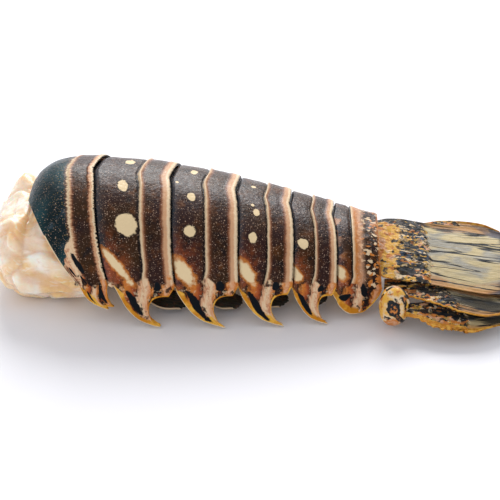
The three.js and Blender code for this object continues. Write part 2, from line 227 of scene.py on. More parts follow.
@functools.lru_cache(maxsize=4096)
def plate_depth(ring, u):
    """Depth of the side plate at u, as a share of the way down to the ground."""
    if ring == 6:
        return LAST_PLATE * max(0.0, math.sin(math.pi * clamp(u))) ** 0.7
    reach = FIRST_REACH if ring == 1 else 1.0
    start, notch = HOOK_START.get(ring, 0.06), NOTCH.get(ring, 0.23)
    if u <= start:
        return 0.0
    if u <= HOOK_TIP:
        return reach * math.sin(math.pi / 2 * (u - start) / (HOOK_TIP - start)) ** HOOK_CURVE
    behind = notch + (1 - notch) * math.exp((HOOK_TIP - u) / NOTCH_FADE)
    return reach * max(0.0, min(behind, notch * (1 - u) / (1 - TOOTH)))


@functools.lru_cache(maxsize=4096)
def ring_row(ring, u):
    """All that a ring's points at u have in common."""
    front = RING_ENDS[ring - 1] - (0 if ring == 1 else OVERLAP)
    middle = mix(front, RING_ENDS[ring], u)
    return (
        middle,
        mix(RING_SWEEP[ring - 1], RING_SWEEP[ring], u),
        curved(SPRING_HEIGHT, middle),
        curved(HALF_WIDTH, middle),
        curved(BACK_HEIGHT, middle),
        math.tan(math.radians(mix(RING_TURN[ring - 1], RING_TURN[ring], u))),
        plate_depth(ring, u),
    )


def ring_band(ring, u, side):
    """Place in the banding of the ring, from 0 at the front to 1 at the rear edge."""
    if ring == 1:
        lost = (RING_SWEEP[0] - RING_SWEEP[1]) * (1 - math.sin(arch_angle(side)))
        length = RING_ENDS[1] - RING_ENDS[0] - lost
        lip, ridge, border = LIP_BAND, 1 - FIRST_RIDGE / length, 1 - FIRST_BORDER / length
    else:
        lip = LIP / ring_length(ring)
        ridge, border = RIDGE_AT[ring], BORDER_AT[ring]
        ridge -= 0.06 * smooth(0.55, 0.75, abs(side))
    return along(((0, 0), (lip, LIP_BAND), (ridge, RIDGE_BAND), (border, BORDER_BAND), (1, 1)), u)


def ring_point(ring, u, side, lift):
    """Point of a ring: u from front to rear, side from -1 over the back to +1."""
    middle, sweep, spring, half, back, turn, depth = ring_row(ring, u)
    hand = -1 if side < 0 else 1
    angle = arch_angle(side)
    down = plate_drop(side) * depth
    lean = HOOK_LEAN[ring] * (down / (FIRST_REACH if ring == 1 else 1.0)) ** 4
    x = middle + sweep * (1 - math.sin(angle)) + lean
    scale = dome_scale(x) if ring == 1 else 1.0
    flare = HOOK_FLARE * down**2 if 1 < ring < 6 else 0.0
    y = (half * scale + lift + flare) * math.cos(angle) * hand
    z = spring + ((back - spring) * scale + lift) * math.sin(angle) - spring * down
    return x - turn * y, y, z


# Cream spots and patches: ring -> (u, side, half length, half width, lean) in mm and radians.
SPOTS = {
    2: ((0.45, -0.37, 3.6, 3.9, 0), (0.43, -0.12, 1.8, 2.7, 0), (0.45, 0.13, 1.8, 2.6, 0),
        (0.44, 0.37, 3.3, 3.6, 0), (0.27, -0.60, 1.7, 7.6, 0.62), (0.28, 0.60, 1.7, 7.2, -0.62)),
    3: ((0.35, -0.37, 2.2, 2.4, 0), (0.37, -0.14, 1.4, 2.0, 0), (0.37, 0.12, 1.4, 2.0, 0),
        (0.19, -0.03, 0.7, 0.7, 0), (0.35, 0.37, 2.1, 2.5, 0), (0.24, -0.63, 2.5, 6.2, 0.5),
        (0.24, 0.625, 2.4, 6.0, -0.5)),
    4: ((0.35, -0.36, 1.5, 2.3, 0), (0.41, -0.17, 0.95, 1.6, 0), (0.36, -0.11, 0.65, 0.7, 0),
        (0.37, 0.10, 0.9, 0.9, 0), (0.36, 0.36, 1.5, 2.2, 0), (0.24, -0.615, 2.2, 5.7, 0.42),
        (0.24, 0.61, 2.1, 5.5, -0.42)),
    5: ((0.32, -0.35, 1.8, 2.6, 0), (0.34, 0.35, 1.7, 2.4, 0), (0.20, -0.62, 1.6, 4.6, 0.3),
        (0.20, 0.61, 1.6, 4.4, -0.3)),
    6: ((0.19, -0.56, 2.0, 4.6, 0.2), (0.19, 0.56, 2.0, 4.2, -0.2)),
}


def on_both_sides(*marks):
    """The marks of the far side and their mirror images on the near one."""
    return (*marks, *((u, -side, half_x, half_side, -lean) for u, side, half_x, half_side, lean in marks))


# Blue-black ovals on the side plates, in the same form.
INKS = {
    1: (*on_both_sides((0.80, 0.86, 2.2, 6.0, -0.2), (0.40, 0.88, 1.0, 3.6, -0.4)),
        (0.42, -0.60, 1.8, 3.4, 0.3), (0.34, -0.70, 1.0, 2.2, 0.3), (0.16, -0.66, 0.8, 1.8, 0.2),
        (0.40, 0.62, 1.6, 3.2, -0.3)),
    2: on_both_sides((0.44, 0.86, 1.9, 5.2, -0.4), (0.77, 0.75, 1.3, 4.2, 0)),
    3: on_both_sides((0.38, 0.87, 2.0, 5.6, -0.35), (0.74, 0.75, 1.4, 4.4, 0)),
    4: on_both_sides((0.37, 0.88, 1.7, 5.0, -0.3), (0.72, 0.76, 1.2, 4.0, 0)),
    5: on_both_sides((0.34, 0.89, 1.5, 4.2, -0.3), (0.70, 0.77, 1.1, 3.6, 0)),
    6: on_both_sides((0.66, 0.74, 1.1, 4.6, -0.1), (0.30, 0.84, 1.3, 3.6, 0.4)),
}
STREAKS_FROM = 0.48  # marks with a greater side are soft streaks, the others spots
SIDE_LENGTH = 58.0  # millimetres round the ring for one unit of side
FAR_OFF = 16  # a mark this far away has no effect


def nearest_mark(marks, ring, u, side):
    """How far inside the nearest mark a point is: 1 in its middle, 0 on its edge."""
    length = ring_length(ring)
    best = -1.0
    for at_u, at_side, half_x, half_side, lean in marks.get(ring, ()):
        a = (u - at_u) * length
        b = (side - at_side) * SIDE_LENGTH
        if abs(a) + abs(b) > FAR_OFF:
            continue
        c, s = math.cos(lean), math.sin(lean)
        best = max(best, 1 - math.hypot((a * c + b * s) / half_x, (b * c - a * s) / half_side))
    return best


def ring_lift(ring, side, band):
    """Height of the relief; it levels out on the side plates."""
    lift = along({1: FIRST_RELIEF, 6: LAST_RELIEF}.get(ring, RING_RELIEF), band, eased=True)
    if ring == 1 or band > 0.3:
        lift = mix(lift, 0.25, 0.8 * smooth(0.0, 0.3, plate_drop(side)))
    return lift


def ring_surface(ring, u, side):
    """Point of the shell with its low relief, and its place in the banding."""
    waver = 0.012 * rough(side * 9, ring * 5.0, u * 2)
    band = ring_band(ring, u, side) + waver * smooth(0.0, 0.2, u) * smooth(0.0, 0.08, 1 - u)
    lift = ring_lift(ring, side, band)
    x, y, z = ring_point(ring, u, side, 0.0)
    lump = 0.16 * rough(x / 7, y / 7, z / 7, ring) + 0.05 * rough(x / 1.8, y / 1.8, z / 1.8, ring)
    lump *= smooth(0.0, 0.15, u) if ring > 1 else 1.0
    if ring == 6:
        lump += 0.22 * rough(x / 2.4, y / 2.4, z / 2.4, 3) * smooth(0.6, 0.75, band)
    x, y, z = ring_point(ring, u, side, lift + lump)
    share = {1: smooth(0.3, 0.6, band), 6: smooth(0.5, 0.2, band)}.get(ring, 1.0)
    x -= PEAK * share * math.exp(-((abs(y) / PEAK_WIDTH) ** 1.3)) * smooth(14, 20, z)
    return x, y, z, band


def plate_fields(ring, u, side, band):
    """How much a point belongs to the mottled plate, to its pale rim and to its yellow edge."""
    drop = plate_drop(side)
    depth = plate_depth(ring, u)
    ragged = 0.04 * rough(u * 7, side * 20, ring)
    if ring == 1 and band < RIDGE_BAND:
        plate = smooth(-0.03, 0.06, abs(side) - 0.62 + 0.30 * band + ragged)
    else:
        plate = smooth(0.58, 0.82, abs(side) + ragged)
        columns = 0.26 * hump(band, 0.63, 0.06) + 0.22 * hump(band, 0.93, 0.06)
        columns -= 0.2 * hump(band, 0.77, 0.07)
        plate += columns * smooth(0.5, 0.72, abs(side)) * (1 - 0.5 * drop)
    if drop == 0:
        return plate, 1 - 30 * u if ring == 1 and abs(side) > 0.45 else -1.0, -1.0
    to_edge = (1 - drop) * max(depth, 0.05) * PLATE_HEIGHT
    if u < HOOK_TIP:
        rim = 1 - to_edge / RIM_WIDTH
        yolk = 1 - to_edge / YOLK_FRONT - 0.8 * smooth(0.25, 0.0, drop * depth)
    else:
        rim = -1.0
        yolk = 0.5 - to_edge / YOLK_REAR
    yolk = max(yolk, 4 * (drop * depth - 0.8))
    return plate, clamp(rim, -1, 1), clamp(yolk, -1, 1)


def shell_mesh(ring):
    bm = bmesh.new()
    bm.loops.layers.uv.new("UVMap")
    bmesh.ops.create_grid(
        bm, x_segments=RING_ROWS, y_segments=RING_COLUMNS, size=0.5, calc_uvs=True)
    layers = float_layers(bm, "band spot streak ink plate rim yolk flush column crown")
    for vert in bm.verts:
        u = round(vert.co.x + 0.5, 6)
        side = vert.co.y * 2
        x, y, z, band = ring_surface(ring, u, side)
        plate, rim, yolk = plate_fields(ring, u, side, band)
        mark = nearest_mark(SPOTS, ring, u, side)
        spot, streak = (-1.0, mark) if abs(side) > STREAKS_FROM else (mark, -1.0)
        flush = smooth(0.34, 0.62, abs(side)) * smooth(0.55, 0.15, u) if ring > 1 else 0.0
        column = u + 0.07 * smooth(0.0, 0.5, plate_drop(side) * plate_depth(ring, u))
        if ring == 1 and band < RIDGE_BAND:
            column = 0.515 + 0.17 * band
        fill(vert, layers, band=band, spot=spot, streak=streak, ink=nearest_mark(INKS, ring, u, side),
             plate=plate, rim=rim, yolk=yolk, flush=flush, column=column,
             crown=smooth(0.5, 0.15, abs(side)))
        if z < TIP_HEIGHT:
            z = mix(LOWEST, TIP_HEIGHT, max(0.0, z) / TIP_HEIGHT)
        vert.co = to_frame(x, y, z)
    if ring > 1:
        add_belly_bar(bm, layers, ring)
    point_out(bm, Vector((cad_low.x, 0, 0.012)))
    smooth_inside(bm)
    return bm


def smooth_inside(bm):
    """Leaves only the border of an open sheet sharp."""
    for edge in bm.edges:
        edge.smooth = not edge.is_boundary


def add_belly_bar(bm, layers, ring):
    """Thin bar and skin that close a ring under the belly."""
    u = LAST_BAR_AT if ring == 6 else BAR_AT
    right = ring_point(ring, u, -0.8, -0.5)
    left = ring_point(ring, u, 0.8, -0.5)
    made = bmesh.ops.create_grid(bm, x_segments=10, y_segments=60, size=0.5)
    for vert in made["verts"]:
        across = vert.co.x
        t = vert.co.y + 0.5
        bow = 0.8 * (2 * t - 1) ** 2
        x = mix(right[0], left[0], t) + BAR_LENGTH * across
        fold = 0.12 * math.cos(across * 9) + 0.1 * rough(x / 2, t * 20, ring)
        vert.co = to_frame(x, mix(right[1], left[1], t), BELLY - GAP - bow - 0.15 + min(0.1, fold))
        fill(vert, layers, band=0.5, spot=0.2 + 0.3 * rough(x / 3, t * 9, 5), streak=-1.0, ink=-1.0,
             plate=0.7, rim=-1.0, yolk=0.2, column=0.6)


def point_out(bm, inside):
    """Turns the faces of an open sheet so that they look away from a point inside."""
    bmesh.ops.recalc_face_normals(bm, faces=bm.faces)
    flip = []
    for island in face_islands(bm):
        total = sum((f.calc_center_median() - inside).dot(f.normal) * f.calc_area() for f in island)
        if total < 0:
            flip += island
    if flip:
        bmesh.ops.reverse_faces(bm, faces=flip)


def face_islands(bm):
    """Lists of faces that hang together."""
    seen = set()
    for start in bm.faces:
        if start in seen:
            continue
        island, todo = [], [start]
        seen.add(start)
        while todo:
            face = todo.pop()
            island.append(face)
            for edge in face.edges:
                for other in edge.link_faces:
                    if other not in seen:
                        seen.add(other)
                        todo.append(other)
        yield island


# --- Meat ---


def rounded_to(end, x):
    """Share of the full size at x, where the front is rounded as far back as the end."""
    return math.sqrt(1 - clamp((end - x) / (end - MEAT_FRONT)) ** 2)


def meat_size(x):
    """Half width, heights of the widest level, the top and the bottom, shoulder and furrow."""
    nose = rounded_to(MEAT_NOSE, x)
    inside = SHELL + TUCK + 2 * GAP
    tip = math.sqrt(clamp((MEAT_REAR - x) / 6))
    within = clamp((x - 23) / 10)
    half = mix(25.6, curved(HALF_WIDTH, x) - inside, within) * nose * tip
    level = mix(12.0, curved(SPRING_HEIGHT, x), within)
    shell_top = curved(BACK_HEIGHT, x) - inside
    risen = along(((4, 34), (9, 29.2), (13, 33.4), (16, 35.6), (23, 37.4), (34, shell_top)), x)
    top = level + (risen - level) * nose * tip
    floor = along(((31, -2.2), (38, BELLY)), x)
    bottom = level - (level - floor) * rounded_to(15, x) * tip
    furrow = along(((3, 0.35), (8, 0.12), (14, 0)), x)
    return half, level, top, bottom, mix(0.8, 1.0, within), furrow


def meat_point(x, angle):
    half, level, top, bottom, shoulder, furrow = meat_size(x)
    parted = 1 - furrow * math.exp(-(((angle - math.pi / 2) / 0.4) ** 2))
    across, up = math.cos(angle), math.sin(angle)
    rise = (top - level) * parted if up > 0 else level - bottom
    power = shoulder if up > 0 else 1.0
    y = half * math.copysign(abs(across) ** power, across)
    return y, level + rise * math.copysign(abs(up) ** power, up)


MEAN_LOBE = 1.35  # mean of the depth that follows


def lobe_depth(x, y, z):
    """How deep the folds between the lobes of the cut meat dig in at a place, in mm."""
    here = Vector((x / 15.0, y / 12.0, z / 11.0))
    here += 0.45 * noise.noise_vector(here * 1.5)
    near = cell_distances(here)
    crease = 1 - smooth(0.0, 0.36, near[1] - near[0])
    swell = near[0] * near[0]
    small = Vector((x / 5.5, y / 4.6, z / 4.6))
    small += 0.5 * noise.noise_vector(small * 1.3)
    return 0.8 * crease + 1.8 * swell + 0.7 * cell_distances(small)[0], crease


def meat_mesh():
    noise.seed_set(MEAT_SEED)
    bm = bmesh.new()
    bmesh.ops.create_uvsphere(bm, u_segments=240, v_segments=190, radius=1.0)
    layers = float_layers(bm, "fold warm")
    for vert in bm.verts:
        t = math.acos(clamp(vert.co.z, -1, 1)) / math.pi
        angle = math.atan2(vert.co.y, vert.co.x) % (2 * math.pi)
        x = mix(MEAT_FRONT, MEAT_NOSE, 1 - math.cos(math.pi / 2 * clamp(t / 0.3)))
        if t > 0.3:
            x = mix(MEAT_NOSE, MEAT_SHOWS, clamp((t - 0.3) / 0.45))
        if t > 0.75:
            x = mix(MEAT_SHOWS, MEAT_REAR, (t - 0.75) / 0.25)
        y, z = meat_point(x, angle)
        bulge = smooth(34, 22, x)
        deep, crease = lobe_depth(x, y, z)
        grain = 0.12 * rough(x / 5, y / 1.1, z / 1.1, 7)
        surface = Vector((x, y, z))
        toward = (Vector((x + 6, 0, 13)) - surface).normalized()
        waves = 1.1 * rough(x / 12, y / 12, z / 12, 2)
        inward = (deep - MEAN_LOBE + waves) * bulge * smooth(MEAT_FRONT, -1, x) + grain
        place = surface + toward * inward
        # The fold layer carries painted shade into the folds between the lobes.
        fill(vert, layers, fold=crease * bulge,
             warm=rough(x / 9, y / 9, z / 9, 4) + smooth(-6, 6, x - 0.25 * z) * 0.3)
        floor = 0.0 if x < 31 else z
        vert.co = to_frame(max(place.x, MEAT_FRONT), place.y, max(place.z, floor, 0.0))
    bmesh.ops.recalc_face_normals(bm, faces=bm.faces)
    return bm


# --- Tail fan and swimmerets ---

# Forms of the blades. s runs from 0 at a blade's start to 1 at its end, t across it. inner, outer,
# inner_z and outer_z follow s, hard tells for each t how far the hard part reaches, rays how many
# rays the soft part has, and hem beyond which t an amber hem lies. dark lists clouds of ink marks:
# s, t and their half sizes.
TELSON = {
    "grid": (170, 120), "start": 124.8, "end": 174.0, "round": 5.0, "camber": 2.8,
    "thick": (2.4, 1.2),
    "inner": ((0, -14.2), (0.1, -16.8), (0.45, -18), (0.85, -19.4), (1, -18.6)),
    "outer": ((0, 14.2), (0.1, 16.6), (0.45, 18), (0.85, 19.4), (1, 18.6)),
    "inner_z": ((0, 15.4), (0.3, 14.6), (1, 11.2)),
    "outer_z": ((0, 17.6), (0.2, 17), (0.4, 15.2), (1, 12.2)),
    "hard": ((0, 0.42), (0.5, 0.37), (1, 0.345)), "rays": 46, "hem": 2, "rise": 1.2,
    "dark": ((0.26, 0.10, 0.07, 0.06), (0.33, 0.20, 0.05, 0.05), (0.08, 0.95, 0.10, 0.10),
             (0.22, 0.90, 0.13, 0.11), (0.34, 0.96, 0.09, 0.06), (0.52, 0.91, 0.12, 0.05),
             (0.74, 0.86, 0.10, 0.05), (0.98, 0.72, 0.08, 0.22), (1.0, 0.25, 0.04, 0.3)),
}
ENDOPOD = {
    "grid": (120, 70), "start": 129.0, "end": 173.4, "round": 5.0, "camber": 0.3,
    "thick": (2.0, 1.0),
    "inner": ((0, 12.2), (0.2, 12.4), (0.45, 13), (1, 15.5)),
    "outer": ((0, 20.5), (0.2, 22), (0.35, 24.4), (0.6, 27.6), (0.84, 28.4), (1, 25.6)),
    "inner_z": ((0, 11.2), (0.2, 11.8), (0.45, 11.8), (1, 9.3)),
    "outer_z": ((0, 10.8), (0.2, 11.5), (0.45, 11.5), (1, 8.4)),
    "hard": ((0, 0.40), (0.6, 0.52), (1, 0.62)), "rays": 24, "hem": 0.97,
    "dark": ((0.36, 0.55, 0.17, 0.24), (0.14, 0.35, 0.10, 0.12), (0.74, 0.60, 0.30, 0.34),
             (0.98, 0.3, 0.12, 0.3)),
}
EXOPOD = {
    "grid": (120, 70), "start": 133.0, "end": 172.6, "round": 5.0, "camber": 0.4,
    "thick": (2.0, 1.0),
    "inner": ((0, 23.2), (0.2, 22.6), (0.45, 20), (1, 19)),
    "outer": ((0, 28), (0.2, 29.4), (0.4, 32.6), (0.64, 33.6), (0.8, 32), (1, 27.6)),
    "inner_z": ((0, 9), (0.45, 9), (1, 7)),
    "outer_z": ((0, 8.4), (0.2, 8), (0.45, 6.2), (1, 5.2)),
    "hard": ((0, 0.45), (0.5, 0.60), (1, 0.66)), "rays": 26, "hem": 0.84,
    "dark": ((0.40, 0.50, 0.20, 0.14), (0.18, 0.62, 0.10, 0.10), (0.66, 0.42, 0.16, 0.16),
             (0.85, 0.6, 0.15, 0.2)),
}


def swimmeret_form(number):
    start = ring_point(number, 0.56, 0.8, 0)[0]
    half = along(HALF_WIDTH, start)
    return {
        "grid": (40, 30), "start": start,
        "end": start + (RING_ENDS[number] - RING_ENDS[number - 1]) * 0.62,
        "round": 3.0, "camber": 0.5, "thick": (1.2, 0.8),
        "inner": ((0, half - 15), (0.5, half - 17), (1, half - 14)),
        "outer": ((0, half - 8), (0.5, half - 4.4), (1, half - 6)),
        "inner_z": ((0, 6), (1, 4.6)), "outer_z": ((0, 5.8), (1, 3.6)),
        "hard": ((0, -1), (1, -1)), "rays": 9, "hem": 2, "dark": (),
    }


def blade_relief(form, s, t, x, y, hard):
    """Low relief of a blade in millimetres: scales on the hard part, rays on the soft one."""
    scales = 0.0
    if hard > 0:
        near = cell_distances(Vector((x / 3.1 + y / 8, y / 1.5, 0)))
        scales = 0.45 * smooth(0.0, 0.5, near[1] - near[0]) * smooth(0.0, 0.08, s)
        scales *= smooth(0.0, 0.02, hard)
    wobble = 0.2 * rough(x / 9, y / 3, 1)
    rays = 0.13 * math.cos((t + 0.012 * wobble) * form["rays"] * 2 * math.pi)
    rays *= smooth(0.03, -0.03, hard)
    swell = 0.35 * rough(x / 12, y / 7, 4) + 0.1 * rough(x / 2, y / 1.5, 8)
    step = 0.55 * smooth(-0.008, 0.008, hard)
    return scales + rays + swell + step - 0.75


def blade_mesh(form, hand):
    rows, columns = form["grid"]
    bm = bmesh.new()
    bm.loops.layers.uv.new("UVMap")
    bmesh.ops.create_grid(bm, x_segments=rows, y_segments=columns, size=0.5, calc_uvs=True)
    layers = float_layers(bm, "hard edge dark hem")
    weights = bm.verts.layers.deform.verify()
    for vert in bm.verts:
        s = vert.co.x + 0.5
        t = vert.co.y + 0.5
        edge = abs(2 * t - 1)
        frill = 0.7 * rough(t * 26, 3, form["end"]) + 0.5 * rough(t * 60, 9, form["end"])
        end = form["end"] - form["round"] * edge**2.5 - 0.8 + frill * 0.8
        x = mix(form["start"], end, s)
        y = mix(curved(form["inner"], s), curved(form["outer"], s), t)
        z = mix(along(form["inner_z"], s), along(form["outer_z"], s), t)
        teeth = 0.02 * abs((t * 9) % 1 - 0.5) * 2 + 0.02 * rough(t * 12, 5, form["start"])
        hard = curved(form["hard"], t) + teeth - s
        z += (form["camber"] + form.get("rise", 0.0) * smooth(0.3, 0.0, s)) * (1 - edge**2)
        z += blade_relief(form, s, t, x, y, hard) * smooth(0.0, 0.05, 1 - edge)
        clouds = (1 - math.hypot((s - at_s) / half_s, (t - at_t) / half_t)
                  for at_s, at_t, half_s, half_t in form["dark"])
        fill(vert, layers, hard=hard, edge=edge, dark=max(clouds, default=-1.0),
             hem=(t - form["hem"]) * 8)
        thick = mix(1.0, form["thick"][1] / form["thick"][0], s) * (1 - 0.6 * edge**4)
        vert[weights][0] = clamp(thick - 0.35 * smooth(0.0, -0.1, hard), 0.15, 1.0)
        vert.co = to_frame(x, hand * min(y, WIDEST), z)
    bmesh.ops.recalc_face_normals(bm, faces=bm.faces)
    if sum(face.normal.z for face in bm.faces) < 0:
        bmesh.ops.reverse_faces(bm, faces=bm.faces)
    smooth_inside(bm)
    return bm


UROPOD_WALL = 0.8  # share of the telson's thickness
JOINT_TURN = 14  # degrees that the joints turn outward
# Centre and radii of each joint by its hand; the far one lies lower, tucked in beside the telson.
JOINTS = {-1: ((132.6, 24.9, 8.9), (5.6, 5.3, 7.8)), 1: ((132.6, 23, 7), (5.6, 4.8, 6.2))}


def base_mesh(hand):
    """Rounded joint that carries both blades of one side of the fan."""
    bm = bmesh.new()
    bmesh.ops.create_uvsphere(bm, u_segments=96, v_segments=72, radius=1.0)
    layers = float_layers(bm, "crescent lobe side")
    turn = math.radians(-JOINT_TURN * hand)
    middle, radii = JOINTS[hand]
    for vert in bm.verts:
        direction = vert.co.copy()
        lump = 1 - 0.07 * (1 + rough(direction.x * 1.7, direction.y * 1.7, direction.z * 1.7, 5))
        outward = direction.y * hand
        head = math.hypot((direction.x + 0.24) / 0.46, (direction.z - 0.22) / 0.44)
        middle_x = 0.78 * clamp(-direction.z / 0.8) - 0.14
        tail = abs(direction.x - middle_x) / 0.2 + 9 * max(0.0, direction.z - 0.1)
        lump -= 0.04 * hump(min(head, tail), 1.0, 0.3) * smooth(-0.1, 0.3, outward)
        fill(vert, layers,
             crescent=max(1 - head, min(0.45, 1 - tail)) if outward > 0 else -1.0,
             lobe=1 - math.hypot((direction.x + 0.24) / 0.46, (direction.z + 0.64) / 0.38),
             side=direction.x - 0.45 if outward > 0 else 0.5)
        local = Vector(d * r * lump for d, r in zip(direction, radii))
        x = local.x * math.cos(turn) - local.y * math.sin(turn)
        y = local.x * math.sin(turn) + local.y * math.cos(turn)
        vert.co = to_frame(middle[0] + x, hand * middle[1] + y, middle[2] + local.z)
    bmesh.ops.recalc_face_normals(bm, faces=bm.faces)
    return bm


# --- Finishes ---


def colour(code):
    """Scene colour of a hexadecimal screen colour."""
    channels = [int(code[i:i + 2], 16) / 255 for i in (0, 2, 4)]
    return tuple(c / 12.92 if c <= 0.04045 else ((c + 0.055) / 1.055) ** 2.4 for c in channels)


class Finish:
    """One node material; its methods add nodes and return the output of the last one."""

    def __init__(self, name, **shader):
        self.material = bpy.data.materials.new(name)
        self.material.use_nodes = True
        self.tree = self.material.node_tree
        self.shader = self.tree.nodes["Principled BSDF"]
        self.place = self.tree.nodes.new("ShaderNodeTexCoord").outputs["Object"]
        for socket, value in shader.items():
            self.feed(self.shader.inputs[socket.replace("_", " ").title().replace("Ior", "IOR")], value)

    def feed(self, socket, value):
        if isinstance(value, bpy.types.NodeSocket):
            self.tree.links.new(value, socket)
        elif socket.type == "RGBA":
            socket.default_value = (*value[:3], 1.0)
        else:
            socket.default_value = value

    def node(self, kind, inputs, **settings):
        made = self.tree.nodes.new("ShaderNode" + kind)
        for key, value in settings.items():
            setattr(made, key, value)
        for key, value in inputs.items():
            self.feed(made.inputs[key], value)
        return made

    def field(self, name):
        return self.node("Attribute", {}, attribute_name=name).outputs["Fac"]

    def uv(self):
        return self.node("UVMap", {}, uv_map="UVMap").outputs[0]

    def stretched(self, scale, turn=(0, 0, 0), source=None):
        inputs = {"Vector": source or self.place, "Scale": scale, "Rotation": turn}
        return self.node("Mapping", inputs).outputs[0]

    def swirled(self, vector, scale, amount):
        """The vector pushed about by noise, so that patterns on it lose their straight edges."""
        inputs = {"Vector": self.place, "Scale": scale, "Detail": 2.0}
        push = self.node("TexNoise", inputs).outputs["Color"]
        centred = self.node("VectorMath", {0: push, 1: (0.5, 0.5, 0.5)}, operation="SUBTRACT").outputs[0]
        sized = self.node("VectorMath", {0: centred, "Scale": amount}, operation="SCALE").outputs[0]
        return self.node("VectorMath", {0: vector, 1: sized}, operation="ADD").outputs[0]

    def noise(self, scale, detail, roughness=0.5, distortion=0.0, vector=None):
        inputs = {"Vector": vector or self.place, "Scale": scale, "Detail": detail,
                  "Roughness": roughness, "Distortion": distortion}
        return self.node("TexNoise", inputs).outputs[0]

    def cells(self, scale, feature="F1", vector=None):
        return self.node("TexVoronoi", {"Vector": vector or self.place, "Scale": scale}, feature=feature)

    def calc(self, operation, a, b=0.0, c=0.0):
        return self.node("Math", {0: a, 1: b, 2: c}, operation=operation).outputs[0]

    def times(self, a, b):
        return self.calc("MULTIPLY", a, b)

    def add(self, value, other, amount=1.0):
        return self.calc("MULTIPLY_ADD", other, amount, value)

    def ragged(self, value, *noises):
        """The value made uneven; noises are (noise, amount)."""
        for source, amount in noises:
            value = self.add(value, self.calc("SUBTRACT", source, 0.5), amount)
        return value

    def step(self, value, low, high, to_low=0.0, to_high=1.0):
        inputs = {"Value": value, "From Min": low, "From Max": high, "To Min": to_low, "To Max": to_high}
        return self.node("MapRange", inputs, interpolation_type="SMOOTHSTEP").outputs[0]

    def blend(self, factor, a, b):
        return self.node("Mix", {0: factor, 6: a, 7: b}, data_type="RGBA").outputs[2]

    def paint(self, base, *coats):
        """The base under its coats, each (value, none from, full from, tone, largest share)."""
        for value, low, high, tone, *share in coats:
            base = self.blend(self.step(value, low, high, 0.0, *share), base, tone)
        return base

    def first_channel(self, source):
        return self.node("SeparateColor", {0: source}).outputs[0]

    def ramp(self, factor, stops, interpolation="LINEAR"):
        """Colour and share at a place among the stops, which are (place, tone, share)."""
        made = self.node("ValToRGB", {"Fac": factor})
        made.color_ramp.interpolation = interpolation
        for _ in stops[2:]:
            made.color_ramp.elements.new(0.5)
        for element, (at, tone, *share) in zip(made.color_ramp.elements, stops):
            element.position = at
            element.color = (*tone[:3], *(share or (1.0,)))
        return made.outputs["Color"], made.outputs["Alpha"]

    def mosaic(self, vector, tones):
        """Cells of random tones; tones are (share from, tone)."""
        cell = self.cells(1.0, vector=vector)
        return self.ramp(self.first_channel(cell.outputs["Color"]), tones, "CONSTANT")[0]

    def isolines(self, vector, width):
        """Long thin wandering lines: 1 on a line."""
        level = self.noise(1.0, 1.5, 0.4, vector=vector)
        off = self.calc("ABSOLUTE", self.calc("SUBTRACT", level, 0.5))
        return self.step(off, width, width * 0.3)

    def freckles(self, scale, size, share, strength=1.0):
        """Small round dots in a share of the cells: the strength inside a dot, 0 outside."""
        dots = self.cells(scale)
        there = self.calc("GREATER_THAN", self.first_channel(dots.outputs["Color"]), 1 - share)
        return self.times(there, self.step(dots.outputs["Distance"], size, size * 0.45, 0.0, strength))

    def done(self, base, roughness, *bumps):
        """Finishes the material; bumps are (height, distance, strength), the first one undermost."""
        self.feed(self.shader.inputs["Base Color"], base)
        self.feed(self.shader.inputs["Roughness"], roughness)
        below = {}
        for height, distance, strength in bumps:
            inputs = {"Height": height, "Distance": distance, "Strength": strength, **below}
            below = {"Normal": self.node("Bump", inputs).outputs[0]}
        for socket, value in below.items():
            self.feed(self.shader.inputs[socket], value)
        return self.material


def rear_stops(p):
    """Ridge line, dark band and cream border that end a ring; the ink at the very rear edge is painted shade
    of the gap to the next ring.
    """
    return (
        (0.582, p.cream, 0.95), (0.597, p.cream, 0.9), (0.614, p.border, 0.9), (0.640, p.fringe, 0.7),
        (0.685, p.brown, 0.0), (0.855, p.brown, 0.0), (0.89, p.fringe, 0.85), (0.918, p.border, 0.95),
        (0.945, p.border, 1.0), (0.965, p.cream, 1.0), (0.985, p.cream, 0.9), (1.0, p.ink, 0.9),
    )


def band_stops(p):
    """Colours of a ring's banding from its front lip to its rear edge. The ink at the lip is dark joint skin,
    darkened further as painted shade of the gap under the ring ahead. The blue-grey strip behind it is a
    painted highlight, and the ink just ahead of the ridge is painted shade in the groove.
    """
    return (
        (0.0, p.ink, 1.0), (0.108, p.ink, 1.0), (0.126, p.painted_sheen, 0.22), (0.17, p.painted_sheen, 0.08),
        (0.26, p.brown, 0.0), (0.53, p.brown, 0.0), (0.553, p.ink, 0.75), (0.572, p.ink, 0.75),
        *rear_stops(p),
    )


def first_stops(p):
    """The same for the first ring, whose dome has a coat of its own."""
    return (
        (0.0, p.teal, 0.0), (0.50, p.teal, 0.0), (0.55, p.fringe, 0.45), (0.575, p.cream, 0.9),
        *rear_stops(p),
    )


def last_stops(p):
    """The same for the last ring, which is mottled behind its ridge. Its lip ink is dark joint skin, darkened
    further as painted shade of the gap. The blue-grey strip behind it is a painted highlight, and the ink
    ahead of the ridge is painted shade in the groove.
    """
    return (
        (0.0, p.ink, 1.0), (0.108, p.ink, 1.0), (0.126, p.painted_sheen, 0.3), (0.26, p.painted_sheen, 0.08),
        (0.40, p.brown, 0.0), (0.52, p.brown, 0.0), (0.55, p.ink, 1.0), (0.58, p.ink, 0.95),
        (0.60, p.cream, 0.95), (0.64, p.orange, 0.8), (0.70, p.pink, 0.7), (0.77, p.brown, 0.0),
        (0.92, p.brown, 0.0), (0.98, p.orange, 0.6),
    )


def plate_stops(p):
    """Columns of colour on a side plate from its front edge to its rear tooth."""
    return (
        (0.0, p.dark), (0.06, p.orange), (0.15, p.fringe), (0.26, p.dark), (0.34, p.orange),
        (0.42, p.rust), (0.50, p.dark), (0.545, p.pink), (0.60, p.cream), (0.655, p.pink),
        (0.69, p.orange), (0.72, p.dark), (0.81, p.dark), (0.845, p.orange), (0.90, p.pink),
        (0.955, p.orange),
    )


